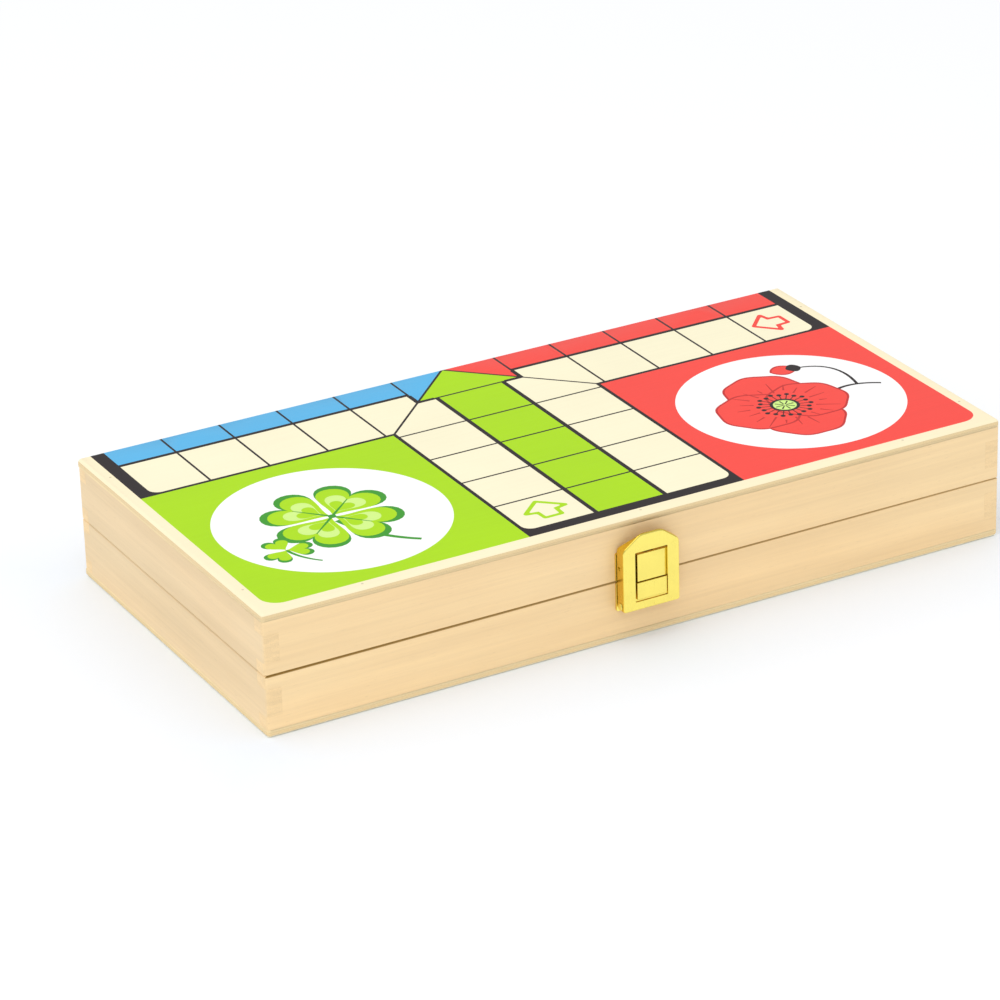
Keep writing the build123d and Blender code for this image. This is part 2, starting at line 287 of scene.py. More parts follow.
def finish(material, tree, inputs, relief=None, strength=0.0, height=0.0):
    """Gives a material its shader, and fine relief of a strength and height."""
    if relief:
        bump = add_node(tree, "ShaderNodeBump", {
            "Height": relief, "Strength": strength, "Distance": height})
        inputs = {**inputs, "Normal": bump}
    shader = add_node(tree, "ShaderNodeBsdfPrincipled", inputs)
    add_node(tree, "ShaderNodeOutputMaterial", {"Surface": shader})
    return material


def basswood(name, axis, rgb, seam_shade_strength, wood):
    """Basswood, planed, sanded and clear lacquered: pale, straight faint grain and no open pores.

    The face shows soft bands some millimetres wide, hair-fine fibres along the board, the dark
    flecks of its rays, drawn about twice as coarse as they are so that they show, and a broad
    pinkish flush here and there. The sawn ends are a little darker and speckled, because they
    drink the lacquer. Along the parting line the faces are painted a darker brown, a painted
    shade that stands for the shade in the groove where the two trays meet. It is strongest at the
    left end and as strong as the seam strength argument says.
    """
    material, tree, place = start_material(name)
    bands = stretched_noise(tree, place, along_grain(axis, 210 * MM, 7 * MM), 0.32, 0.68)
    streaks = stretched_noise(tree, place, along_grain(axis, 70 * MM, 1.3 * MM), 0.3, 0.7, 3.0)
    fibres = stretched_noise(tree, place, along_grain(axis, 14 * MM, 0.35 * MM), 0.25, 0.75)
    flecks = stretched_noise(tree, place, along_grain(axis, 3.8 * MM, 0.5 * MM), 0.64, 0.76)
    flush = stretched_noise(tree, place, along_grain(axis, 90 * MM, 25 * MM), 0.35, 0.65)
    cloud = stretched_noise(tree, place, (55 * MM, 55 * MM, 30 * MM))
    tone = weighted_sum(tree, (bands, 0.42), (streaks, 0.24), (fibres, 0.16), (cloud, 0.18))
    flush_part = add_node(tree, "ShaderNodeMath", (flush, 0.6), operation="MULTIPLY")
    flushed = add_node(tree, "ShaderNodeMix", {
        "Factor_Float": flush_part, "A_Color": toned(tree, tone, rgb, 1.08, 0.86),
        "B_Color": (1.0, 0.955, 0.91, 1.0)}, data_type="RGBA", blend_type="MULTIPLY")
    fleck_part = add_node(tree, "ShaderNodeMath", (flecks, 0.35), operation="MULTIPLY")
    face = add_node(tree, "ShaderNodeMix", {
        "Factor_Float": fleck_part, "A_Color": flushed, "B_Color": shade(rgb, 0.68)},
        data_type="RGBA")

    speckle = stretched_noise(tree, place, (0.35 * MM, 0.35 * MM, 0.35 * MM), 0.35, 0.65)
    rings = stretched_noise(tree, place, (9 * MM, 9 * MM, 1.6 * MM), 0.4, 0.6)
    sawn_tone = weighted_sum(tree, (speckle, 0.45), (rings, 0.4))
    facing = add_node(tree, "ShaderNodeSeparateXYZ", {"Vector": place.outputs["Normal"]})
    is_end = add_node(tree, "ShaderNodeMapRange", {
        "Value": apart_from(tree, facing.outputs[axis], 0.0), "From Min": 0.6, "From Max": 0.8})
    board = add_node(tree, "ShaderNodeMix", {
        "Factor_Float": is_end, "A_Color": face,
        "B_Color": toned(tree, sawn_tone, wood.end_grain, 1.08, 0.88)}, data_type="RGBA")

    # Painted shade: next to the parting line the faces turn to the seam colour. This stands for the
    # shade in the groove between the trays, with more of it at the left end.
    where = add_node(tree, "ShaderNodeSeparateXYZ", {"Vector": place.outputs["Object"]})
    seam_shade_share = add_node(tree, "ShaderNodeMapRange", {
        "Value": where.outputs["X"], "From Min": case_low.x, "From Max": case_high.x,
        "To Min": wood.seam_left, "To Max": wood.seam_right})
    above = apart_from(tree, where.outputs["Z"], parting_z)
    spread = add_node(tree, "ShaderNodeMath", (above, seam_shade_share), operation="DIVIDE")
    strength = add_node(tree, "ShaderNodeMath", (seam_shade_share, seam_shade_strength), operation="MULTIPLY")
    near_seam = add_node(tree, "ShaderNodeMapRange", {
        "Value": spread, "From Min": wood.seam_height, "From Max": wood.seam_fade,
        "To Min": strength, "To Max": 0.0})
    outward = apart_from(tree, where.outputs[1 - axis], 0.0)
    at_face = add_node(tree, "ShaderNodeMath",
                       (outward, case_high[1 - axis] - wood.seam_width), operation="GREATER_THAN")
    painted_seam_shade = add_node(tree, "ShaderNodeMath", (near_seam, at_face), operation="MULTIPLY")
    colours = add_node(tree, "ShaderNodeMix", {
        "Factor_Float": painted_seam_shade, "A_Color": board, "B_Color": shade(wood.seam)},
        data_type="RGBA")

    relief = weighted_sum(tree, (fibres, 0.6), (streaks, 0.4), (flecks, -0.5))
    gloss = add_node(tree, "ShaderNodeMapRange", {"Value": tone, "To Min": 0.42, "To Max": 0.56})
    return finish(material, tree, {"Base Color": colours, "Roughness": gloss, "IOR": 1.5},
                  relief, 0.35, 0.06 * MM)


def plywood(name, wood, face_z):
    """Three-ply basswood, sanded: pale veneers outside and a darker cross-grained core.

    Its inner face shows rotary-cut figure, and its edge the three layers with thin glue lines.
    face_z is the height of the panel's printed face.
    """
    material, tree, place = start_material(name)
    figure = stretched_noise(tree, place, (160 * MM, 11 * MM, 11 * MM), 0.35, 0.65, 3.0)
    fibres = stretched_noise(tree, place, (12 * MM, 0.4 * MM, 0.4 * MM), 0.25, 0.75)
    cross = stretched_noise(tree, place, (0.5 * MM, 0.5 * MM, 0.3 * MM))
    tone = weighted_sum(tree, (figure, 0.5), (fibres, 0.2))

    where = add_node(tree, "ShaderNodeSeparateXYZ", {"Vector": place.outputs["Object"]})
    depth = apart_from(tree, where.outputs["Z"], face_z)
    off_middle = apart_from(tree, depth, panel_thickness / 2)
    in_core = add_node(tree, "ShaderNodeMath", (off_middle, wood.core_thickness / 2),
                       operation="LESS_THAN")
    in_glue = add_node(tree, "ShaderNodeMath",
                       (off_middle, wood.core_thickness / 2 + wood.glue_thickness),
                       operation="LESS_THAN")
    glued = add_node(tree, "ShaderNodeMix", {
        "Factor_Float": in_glue, "A_Color": toned(tree, tone, wood.veneer, 1.0, 0.84),
        "B_Color": shade(wood.core, 0.78)}, data_type="RGBA")
    layered = add_node(tree, "ShaderNodeMix", {
        "Factor_Float": in_core, "A_Color": glued,
        "B_Color": toned(tree, cross, wood.core, 1.0, 0.84)}, data_type="RGBA")

    return finish(material, tree, {"Base Color": layered, "Roughness": 0.55, "IOR": 1.5},
                  fibres, 0.3, 0.05 * MM)


def varnished_ink(name, rgb):
    """Screen-printed ink under a clear roller-coated varnish.

    The film lies smooth, with the wood's grain only just telegraphed through it, and its tone
    drifts a little over some centimetres, as a hand-pulled screen leaves it.
    """
    material, tree, place = start_material(name)
    drift = stretched_noise(tree, place, (42 * MM, 42 * MM, 42 * MM))
    grain = stretched_noise(tree, place, (30 * MM, 0.9 * MM, 0.9 * MM))
    peel = stretched_noise(tree, place, (2.4 * MM, 2.4 * MM, 2.4 * MM))
    ink = toned(tree, weighted_sum(tree, (drift, 0.6), (grain, 0.4)), rgb, 0.965, 1.02)
    relief = weighted_sum(tree, (grain, 0.7), (peel, 0.3))
    gloss = add_node(tree, "ShaderNodeMapRange", {"Value": drift, "To Min": 0.3, "To Max": 0.38})
    return finish(material, tree, {
        "Base Color": ink, "Roughness": gloss, "IOR": 1.48, "Specular IOR Level": 0.15},
        relief, 0.2, 0.02 * MM)


def brass(name, rgb, roughness, line_run, side_shade_share=1.0):
    """Brass sheet, polished and lacquered: fine drawing lines, and handling marks in the shine.

    line_run holds the sizes of the lines along X, Y and Z. They are drawn coarser than the real
    ones, so that they show. The last argument is the share of green that is left on surfaces that
    don't face the front, with more of the red and less of the blue. It is a painted shade that
    makes them a deeper, darker gold, as they look when they turn away from the light.
    """
    material, tree, place = start_material(name)
    lines = stretched_noise(tree, place, line_run, 0.3, 0.7, 3.0)
    smears = stretched_noise(tree, place, (3.5 * MM, 3.5 * MM, 5 * MM), 0.35, 0.65)
    tarnish = stretched_noise(tree, place, (7 * MM, 7 * MM, 7 * MM), 0.45, 0.8)
    tone = weighted_sum(tree, (tarnish, 0.5), (lines, 0.2))
    facing = add_node(tree, "ShaderNodeSeparateXYZ", {"Vector": place.outputs["Normal"]})
    # Painted shade: surfaces that turn away from the front are multiplied to a deeper, darker gold.
    painted_side_shade = add_node(tree, "ShaderNodeMapRange", {
        "Value": facing.outputs["Y"], "From Min": -0.9, "From Max": -0.4})
    metal = add_node(tree, "ShaderNodeMix", {
        "Factor_Float": painted_side_shade, "A_Color": toned(tree, tone, rgb, 1.0, 0.88),
        "B_Color": (0.5 + side_shade_share / 2, side_shade_share, side_shade_share ** 3, 1.0)},
        data_type="RGBA", blend_type="MULTIPLY")
    gloss = add_node(tree, "ShaderNodeMapRange", {
        "Value": weighted_sum(tree, (smears, 0.5), (lines, 0.5)),
        "To Min": roughness * 0.8, "To Max": roughness * 1.3})
    return finish(material, tree, {"Base Color": metal, "Metallic": 1.0, "Roughness": gloss},
                  lines, 0.25, 0.015 * MM)


def drawn_steel(name, rgb):
    """Bright drawn steel wire, with die lines along it."""
    material, tree, place = start_material(name)
    lines = stretched_noise(tree, place, (0.2 * MM, 0.2 * MM, 6 * MM))
    gloss = add_node(tree, "ShaderNodeMapRange", {"Value": lines, "To Min": 0.3, "To Max": 0.45})
    metal = toned(tree, lines, rgb, 1.0, 0.8)
    return finish(material, tree, {"Base Color": metal, "Metallic": 1.0, "Roughness": gloss})


# ------------------------------------------------------------ meshes made from the solids
def welded_solid(node):
    """A copy of a solid's mesh with its loose triangles joined, as a bmesh."""
    shell = bmesh.new()
    shell.from_mesh(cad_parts[node].data)
    bmesh.ops.remove_doubles(shell, verts=shell.verts, dist=WELD)
    return shell


def new_piece(name, mesh, body, nodes):
    """Links a finished mesh as a piece that rides on a body and stands for solids."""
    piece = bpy.data.objects.new(name, mesh)
    bpy.context.scene.collection.objects.link(piece)
    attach(piece, body)
    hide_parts(*nodes)
    return piece


def smooth_below(mesh, degrees):
    """Shades the mesh smooth, with edges sharper than the angle kept crisp."""
    mesh.polygons.foreach_set("use_smooth", [True] * len(mesh.polygons))
    mesh.set_sharp_from_angle(angle=math.radians(degrees))


def keep_faces_flat(piece):
    """Lets the large faces set the shading, so that rounded edges don't bleed into them."""
    weighted = piece.modifiers.new("flat faces", "WEIGHTED_NORMAL")
    weighted.weight = 100
    weighted.keep_sharp = True


def dressed_solid(name, node, body, material, edge_round):
    """A solid's mesh with its flat faces made whole and its edges broken, in a material."""
    shell = welded_solid(node)
    bmesh.ops.dissolve_limit(shell, angle_limit=math.radians(0.5), verts=shell.verts,
                             edges=shell.edges)
    mesh = bpy.data.meshes.new(name)
    shell.to_mesh(mesh)
    shell.free()
    mesh.materials.append(material)
    smooth_below(mesh, 30)
    piece = new_piece(name, mesh, body, [node])
    bevel = piece.modifiers.new("broken edges", "BEVEL")
    bevel.width = edge_round
    bevel.segments = 2
    bevel.limit_method = "ANGLE"
    bevel.angle_limit = math.radians(40)
    bevel.use_clamp_overlap = True
    keep_faces_flat(piece)
    return piece


def solids_of(node):
    """The lowest and highest corner of each separate solid in a node."""
    shell = welded_solid(node)
    left = set(shell.verts)
    boxes = []
    while left:
        group = [left.pop()]
        for vert in group:
            for edge in vert.link_edges:
                other = edge.other_vert(vert)
                if other in left:
                    left.remove(other)
                    group.append(other)
        low = Vector([min(v.co[i] for v in group) for i in range(3)])
        high = Vector([max(v.co[i] for v in group) for i in range(3)])
        boxes.append((low, high))
    shell.free()
    return sorted(boxes, key=lambda box: tuple(box[0]))


# ------------------------------------------------------------ outlines of the print, in metres
def rectangle(x0, x1, y0, y1):
    """A rectangle by its sides, anticlockwise from its lowest corner."""
    return [(x0, y0), (x1, y0), (x1, y1), (x0, y1)]


def circle(x, y, radius, steps=96, ruffle=0.0):
    """A round outline, or one with seven waves, whose height is a share of the radius."""
    made = []
    for i in range(steps):
        t = 2 * math.pi * i / steps
        reach = radius * (1 + ruffle * math.cos(7 * t))
        made.append((x + reach * math.cos(t), y + reach * math.sin(t)))
    return made


def rounded(outline, radii, steps=10):
    """An outline with its corners rounded: radii holds one for each corner, 0 for a sharp one."""
    made = []
    for i, corner in enumerate(outline):
        here = Vector(corner)
        if not radii[i]:
            made.append(corner)
            continue
        back = (Vector(outline[i - 1]) - here).normalized()
        ahead = (Vector(outline[(i + 1) % len(outline)]) - here).normalized()
        half_angle = back.angle(ahead) / 2
        centre = here + (back + ahead).normalized() * radii[i] / math.sin(half_angle)
        reach = radii[i] / math.tan(half_angle)
        start = here + back * reach - centre
        end = here + ahead * reach - centre
        sweep = start.angle_signed(end)
        for step in range(steps + 1):
            made.append(tuple(centre + Matrix.Rotation(-sweep * step / steps, 2) @ start))
    return made


def grown(outline, distance):
    """An anticlockwise outline moved outwards by a distance, with mitred corners."""
    made = []
    for i, corner in enumerate(outline):
        here = Vector(corner)
        back = (here - Vector(outline[i - 1])).normalized()
        ahead = (Vector(outline[(i + 1) % len(outline)]) - here).normalized()
        side = (Vector((back.y, -back.x)) + Vector((ahead.y, -ahead.x))).normalized()
        made.append(tuple(here + side * distance / side.dot(Vector((back.y, -back.x)))))
    return made


def bowed(start, middle, end, steps=14):
    """Points along a curve from start to end, drawn towards middle."""
    points = []
    for i in range(steps + 1):
        t = i / steps
        a, b, c = (1 - t) ** 2, 2 * t * (1 - t), t * t
        points.append((a * start[0] + b * middle[0] + c * end[0],
                       a * start[1] + b * middle[1] + c * end[1]))
    return points


def stroke(points, start_width, end_width):
    """The outline of a pen stroke along points, from one width to the other."""
    left, right = [], []
    last = len(points) - 1
    for i, point in enumerate(points):
        before = Vector(points[max(i - 1, 0)])
        after = Vector(points[min(i + 1, last)])
        run = (after - before).normalized()
        half = (start_width + (end_width - start_width) * i / last) / 2
        side = Vector((-run.y, run.x)) * half
        left.append(tuple(Vector(point) + side))
        right.append(tuple(Vector(point) - side))
    return left + right[::-1]


def petal(reach, width, swell, steps=16):
    """A petal from the origin up along Y; swell above 1 puts its widest place further out."""
    right = []
    for i in range(1, steps):
        t = i / steps
        right.append((width / 2 * math.sin(math.pi * t ** swell) ** 0.7, reach * t))
    left = [(-x, y) for x, y in reversed(right)]
    return [(0.0, 0.0)] + right + [(0.0, reach)] + left


def heart(reach, steps=44):
    """A heart from its point at the origin up along Y."""
    made = []
    for i in range(steps):
        t = math.pi + 2 * math.pi * i / steps
        x = 16 * math.sin(t) ** 3
        y = 13 * math.cos(t) - 5 * math.cos(2 * t) - 2 * math.cos(3 * t) - math.cos(4 * t)
        made.append((x * reach / 29, (y + 17) * reach / 29))
    return made


def moved(outline, x, y, turn=0.0, size=1.0):
    """An outline scaled, turned by an angle in degrees and put at x, y."""
    spin = Matrix.Rotation(math.radians(turn), 2)
    return [tuple(spin @ Vector(point) * size + Vector((x, y))) for point in outline]


def quarter_turned(outline, turns):
    """An outline carried round the board's middle by quarter turns, anticlockwise."""
    for _ in range(turns):
        outline = [(-y, x) for x, y in outline]
    return outline


# ------------------------------------------------------------ pictures in the yards' discs
# Each is a list of (ink, outline) about the disc's middle, in millimetres, lowest first.
def clover():
    """A four-leaf clover on a bent stem, with a small three-leaf one beside it."""
    layers = [("leaf green", stroke(bowed((1, -2), (5, -20), (19, -31)), 2.4, 1.6))]
    for turn in (42, 132, 222, 312):
        for ink, start, reach in (("leaf green", 0, 24.5), ("green", 0, 21.8),
                                  ("pale green", 3.1, 13.8), ("green", 3.8, 8.6)):
            leaf = [(x, y + start) for x, y in heart(reach)]
            layers.append((ink, moved(leaf, 1, 2, turn)))
        layers.append(("leaf green", moved(stroke([(0, 1), (0, 15)], 1.1, 0.4), 1, 2, turn)))
    layers.append(("leaf green", circle(1, 2, 1.5, 24)))
    layers.append(("leaf green", stroke(bowed((-25, -14), (-24, -22), (-18, -28)), 1.4, 0.9)))
    for turn in (10, 130, 250):
        for ink, reach in (("leaf green", 9.6), ("green", 8.0)):
            layers.append((ink, moved(heart(reach), -25, -14, turn)))
    return layers


def poppy():
    """An open poppy with four petals, its seed head and stamens, and a bud beside it."""
    x, y = -2, 4
    layers = [("line", stroke(bowed((x, -16), (4, -26), (-4, -37)), 1.5, 1.1)),
              ("line", stroke(bowed((0, -29), (23, -35), (25, -16)), 1.2, 0.9))]
    for petal_x, petal_y, radius in ((-13, 0, 15), (13, 0, 15), (0, 11, 15), (0, -10, 14.5)):
        for ink, size in (("dark red", radius + 0.9), ("red", radius)):
            layers.append((ink, circle(x + petal_x, y + petal_y, size, 72, 0.025)))
    for i in range(20):
        crease = stroke([(0, 11.5 + 2 * (i % 2)), (0, 16.5 + 2 * (i % 3))], 0.8, 0.3)
        layers.append(("dark red", moved(crease, x, y, 18 * i + 6)))
        stamen = stroke([(0, 4), (0, 9)], 0.45, 0.35)
        anther = circle(0, 9 + 0.9 * (i % 2), 0.95, 14)
        layers += [("line", moved(part, x, y, 18 * i)) for part in (stamen, anther)]
    layers.append(("line", circle(x, y, 5.6, 36)))
    layers.append(("pale green", circle(x, y, 4.4, 36)))
    for i in range(8):
        layers.append(("line", moved(stroke([(0, 0.6), (0, 3.8)], 0.4, 0.6), x, y, 45 * i)))
    for ink, outline, foot in (("dark red", petal(12, 9, 1.2), -19),
                               ("red", petal(10.6, 7.4, 1.2), -18.4),
                               ("line", petal(6, 6.6, 0.9), -19.8)):
        layers.append((ink, moved(outline, 25, foot, -5)))
    return layers


def forget_me_not():
    """Three five-petalled flowers with two leaves."""
    layers = [("leaf green", stroke(bowed((-2, -6), (2, -20), (-6, -31)), 1.6, 1.2))]
    for x, y, turn in ((0, -21, 62), (-1, -24, -58)):
        layers.append(("leaf green", moved(petal(22, 9, 1.0), x, y, -turn)))
        layers.append(("pale green", moved(stroke([(0, 2), (0, 18)], 0.9, 0.4), x, y, -turn)))
    for x, y, size, turn in ((-2, 4, 1.0, 0), (21, 7, 0.5, 25), (-23, -7, 0.56, 50)):
        for i in range(5):
            for ink, outline in (("dark blue", petal(19, 17.5, 1.5)),
                                 ("blue", petal(17.8, 15.8, 1.5)),
                                 ("dark blue", stroke([(0, 6), (0, 12.5)], 0.9, 0.35))):
                layers.append((ink, moved(outline, x, y, turn + 72 * i, size)))
        for i in range(5):
            layers.append(("white", moved(petal(5.6, 3.4, 1.2), x, y, turn + 36 + 72 * i, size)))
        layers.append(("yellow", circle(x, y, 3.3 * size, 32)))
        layers.append(("dark yellow", circle(x, y, 1.4 * size, 24)))
    return layers


def coneflower():
    """A yellow coneflower with a dark eye, and its leaf."""
    layers = [("leaf green", stroke(bowed((1, -12), (-4, -22), (2, -32)), 1.8, 1.4)),
              ("leaf green", moved(petal(21, 8.5, 1.0), -1, -26, -62)),
              ("pale green", moved(stroke([(0, 2), (0, 17)], 0.9, 0.4), -1, -26, -62))]
    for i in range(14):
        reach = 26.5 if i % 2 else 24.5
        for ink, outline in (("dark yellow", petal(reach, 10.6, 1.15)),
                             ("yellow", petal(reach - 1.1, 9.0, 1.15)),
                             ("dark yellow", stroke([(0, 9), (0, 17)], 0.9, 0.35))):
            layers.append((ink, moved(outline, 0, 3, 360 * i / 14)))
    layers.append(("line", circle(0, 3, 8.6, 48)))
    for ring, count in ((6.6, 16), (4.2, 10), (1.8, 5)):
        for i in range(count):
            layers.append(("dark yellow", moved(circle(0, ring, 0.6, 10), 0, 3, 360 * i / count)))
    return layers


# The players' inks, their pictures and their sizes, round the board from the front left yard.
PICTURES = (("green", clover, 1.0), ("red", poppy, 1.0), ("yellow", coneflower, 1.18),
            ("blue", forget_me_not, 1.22))


# ------------------------------------------------------------ the board's print
def home_triangle(size, player):
    """The player's part of the home square, whose outline is thinner across the middle lane."""
    inner = size.lane_edge + size.lane_line / 2
    peak = size.row_line / 2 * math.sqrt(2)
    near, far = size.row_line / 2 - size.home_edge, size.lane_line / 2 - size.home_edge
    point = peak + far
    return [(player, [(0.0, -peak), (point, far), (-inner, far), (-inner, near), (inner, near),
                      (inner, far), (-point, far)])]


def middle_lane(size, player, rows):
    """The player's own lane, square by square, up to the end band."""
    thin = size.row_line / 2
    lane = size.lane_edge - size.lane_line / 2
    layers = [(player, rectangle(-lane, lane, rows[0] + thin, -size.home_edge - thin))]
    for near, far in zip(rows, rows[1:]):
        far_edge = far if far == rows[-1] else far + thin
        layers.append((player, rectangle(-lane, lane, far_edge, near - thin)))
    return layers


def side_squares(size, rows):
    """The open squares on both sides of the lane: the first cut off slantwise, the last rounded."""
    thin = size.row_line / 2
    inner = size.lane_edge + size.lane_line / 2
    outer = size.arm_edge - size.arm_line
    home = size.home_edge + size.lane_line / 2
    slant = thin * math.sqrt(2)
    first = [(inner, rows[0] + thin), (inner, -home), (home - slant, -home),
             (outer, -outer - slant), (outer, rows[0] + thin)]
    last = rounded(rectangle(inner, outer, rows[-1], rows[-2] - thin),
                   (0, size.end_corner, 0, 0))
    between = [rectangle(inner, outer, far + thin, near - thin)
               for near, far in zip(rows[:-2], rows[1:-1])]
    return [("square", [(side * x, y) for x, y in square])
            for side in (-1, 1) for square in (first, *between, last)]


def start_arrow(size, player, rows):
    """The outlined arrow that points to the board's middle from an arm's last square."""
    barb, notch, shaft = 8.25 * MM, 3.7 * MM, 3.4 * MM
    tip, shoulder, waist, tail = 7.6 * MM, -0.1 * MM, -1.0 * MM, -5.85 * MM
    arrow = [(-shaft, tail), (shaft, tail), (notch, waist), (barb, shoulder), (0.0, tip),
             (-barb, shoulder), (-notch, waist)]
    inner, outer = size.lane_edge + size.lane_line / 2, size.arm_edge - size.arm_line
    arrow = moved(arrow, size.arrow_shift - (inner + outer) / 2, (rows[-1] + rows[-2]) / 2)
    rim = rounded(grown(arrow, size.arrow_line / 2), [1.1 * MM] * 7, 6)
    hollow = rounded(grown(arrow, -size.arrow_line / 2), [0.4 * MM] * 7, 4)
    return [(player, rim), ("square", hollow)]


def yard(size, board_edge, player, picture, picture_size):
    """A player's yard with its white disc and the picture in it."""
    middle = -size.disc_middle
    field = rounded(rectangle(-board_edge, -size.arm_edge, -board_edge, -size.arm_edge),
                    (size.yard_corner, 0, 0, 0))
    layers = [(player, field), ("white", circle(middle, middle, size.disc, 160))]
    for ink, outline in picture():
        metres = [(x * MM, y * MM) for x, y in outline]
        layers.append((ink, moved(metres, middle, middle, 0.0, picture_size)))
    return layers


def quarter_print(size, board_edge, player, picture, picture_size):
    """The front arm and the yard on its left, as (ink, outline) layers in board coordinates."""
    rows = [-size.first_row - size.row_pitch * i for i in range(4)] + [size.band - board_edge]
    return (home_triangle(size, player) + middle_lane(size, player, rows)
            + side_squares(size, rows) + start_arrow(size, player, rows)
            + yard(size, board_edge, player, picture, picture_size))


def board_layers(size):
    """Every ink of the opened board, lowest first, on the arms' dark ground of line ink."""
    board_edge = (case_high.x - case_low.x) / 2 - size.margin
    ground = ("line", rectangle(-size.arm_edge, size.arm_edge, -board_edge, 0.0))
    quarters = [[ground]] * 4 + [quarter_print(size, board_edge, *made) for made in PICTURES]
    return [(ink, quarter_turned(outline, i % 4))
            for i, layers in enumerate(quarters) for ink, outline in layers]


def filler_spots(half, radius):
    """The filled brad holes of a half, in board coordinates."""
    spots = []
    for low, high in solids_of(half + "_panel_brads"):
        middle = (low + high) / 2
        y = hinge_y - middle.y if half == BASE else middle.y - hinge_y
        spots.append(("filler", circle(middle.x, y, radius, 16)))
    return spots


def cut_below(outline, y):
    """The part of an outline at or above the line at y."""
    made = []
    for i, (x1, y1) in enumerate(outline):
        x0, y0 = outline[i - 1]
        if (y0 < y) != (y1 < y):
            t = (y - y0) / (y1 - y0)
            made.append((x0 + t * (x1 - x0), y))
        if y1 >= y:
            made.append((x1, y1))
    return made


def reach_of(outline):
    """The sides of an outline's box."""
    xs, ys = zip(*outline)
    return min(xs), max(xs), min(ys), max(ys)


def holds(outline, x, y):
    """Whether a point lies inside an outline."""
    inside = False
    x0, y0 = outline[-1]
    for x1, y1 in outline:
        if (y0 > y) != (y1 > y) and x < x0 + (y - y0) * (x1 - x0) / (y1 - y0):
            inside = not inside
        x0, y0 = x1, y1
    return inside


def ink_at(layers, x, y):
    """The topmost ink at a point, from layers of ink, outline and reach."""
    for ink, outline, (x0, x1, y0, y1) in reversed(layers):
        if x0 <= x <= x1 and y0 <= y <= y1 and holds(outline, x, y):
            return ink
    return "ground"


def split_edge_at(shell, edges, x):
    """Puts a vertex at x on whichever of the edges along X passes it."""
    for edge in edges:
        a, b = edge.verts
        low, high = sorted((a.co.x, b.co.x))
        if low + WELD < x < high - WELD:
            new_edge, _ = bmesh.utils.edge_split(edge, a, (x - a.co.x) / (b.co.x - a.co.x))
            edges.append(new_edge)
            return


def divided_face(shell, layers, face_z):
    """Fills the open rim of a panel with triangles divided along the layers' outlines.

    Gives each new face with the ink it wears.
    """
    rim = [e for e in shell.edges if e.is_boundary]
    rim_verts = list(dict.fromkeys(v for e in rim for v in e.verts))
    number = {v: i for i, v in enumerate(rim_verts)}
    points = [Vector((v.co.x, hinge_y - v.co.y)) for v in rim_verts]
    edges = [(number[e.verts[0]], number[e.verts[1]]) for e in rim]
    for _, outline, _ in layers:
        start, count = len(points), len(outline)
        points += [Vector(p) for p in outline]
        edges += [(start + i, start + (i + 1) % count) for i in range(count)]
    made, _, triangles, sources, _, _ = delaunay_2d_cdt(points, edges, [], 0, SAME_POINT)

    verts = []
    for point, source in zip(made, sources):
        known = [s for s in source if s < len(rim_verts)]
        verts.append(rim_verts[known[0]] if known
                     else shell.verts.new((point.x, hinge_y - point.y, face_z)))
    faces = []
    for triangle in triangles:
        x, y = (sum(made[i][axis] for i in triangle) / 3 for axis in (0, 1))
        faces.append((shell.faces.new([verts[i] for i in triangle]), ink_at(layers, x, y)))
    return faces


def printed_panel(half, layers, inks, bare):
    """A plywood panel whose outer face is divided along the print, one material for each ink."""
    node = half + "_panel"
    face_z, sign = (base_face_z, 1) if half == BASE else (lid_face_z, -1)
    shell = welded_solid(node)
    outer = [f for f in shell.faces if all(abs(v.co.z - face_z) < WELD for v in f.verts)]
    bmesh.ops.delete(shell, geom=outer, context="FACES")
    rim = [e for e in shell.edges if e.is_boundary]
    hinge_line = max(v.co.y for e in rim for v in e.verts)
    limit = hinge_y - hinge_line

    kept = [(ink, cut_below([(x, sign * y) for x, y in outline], limit))
            for ink, outline in layers]
    kept = [(ink, outline, reach_of(outline)) for ink, outline in kept if len(outline) > 2]
    hinge_edges = [e for e in rim if all(abs(v.co.y - hinge_line) < WELD for v in e.verts)]
    for x in sorted({round(x, 7) for _, outline, _ in kept for x, y in outline
                     if abs(y - limit) < WELD}):
        split_edge_at(shell, hinge_edges, x)

    names = list(inks)
    for face in shell.faces:
        primed = -sign * face.normal.z > PRIMER_TURN
        face.material_index = names.index("ground") if primed else len(names)
    for face, ink in divided_face(shell, kept, face_z):
        face.material_index = names.index(ink)
        face.normal_update()
        if sign * face.normal.z > 0:
            face.normal_flip()

    mesh = bpy.data.meshes.new("printed_" + node)
    shell.to_mesh(mesh)
    shell.free()
    for material in (*inks.values(), bare):
        mesh.materials.append(material)
    smooth_below(mesh, 25)
    piece = new_piece("printed_" + node, mesh, half, [node])
    keep_faces_flat(piece)
    return piece


# ------------------------------------------------------------ fasteners by geometry nodes
def fastener_tree(name, sizes):
    """A node tree with one geometry input, the named lengths and a material."""
    tree = bpy.data.node_groups.new(name, "GeometryNodeTree")
    tree.interface.new_socket("Places", in_out="INPUT", socket_type="NodeSocketGeometry")
    for size in sizes:
        made = tree.interface.new_socket(size, in_out="INPUT", socket_type="NodeSocketFloat")
        made.subtype = "DISTANCE"
    tree.interface.new_socket("Material", in_out="INPUT", socket_type="NodeSocketMaterial")
    tree.interface.new_socket("Fasteners", in_out="OUTPUT", socket_type="NodeSocketGeometry")
    return tree, add_node(tree, "NodeGroupInput").outputs


def lowered(tree, part, z):
    """A part of a fastener moved along its axis to z."""
    move = add_node(tree, "ShaderNodeCombineXYZ", {"Z": z})
    return add_node(tree, "GeometryNodeTransform", {"Geometry": part, "Translation": move})


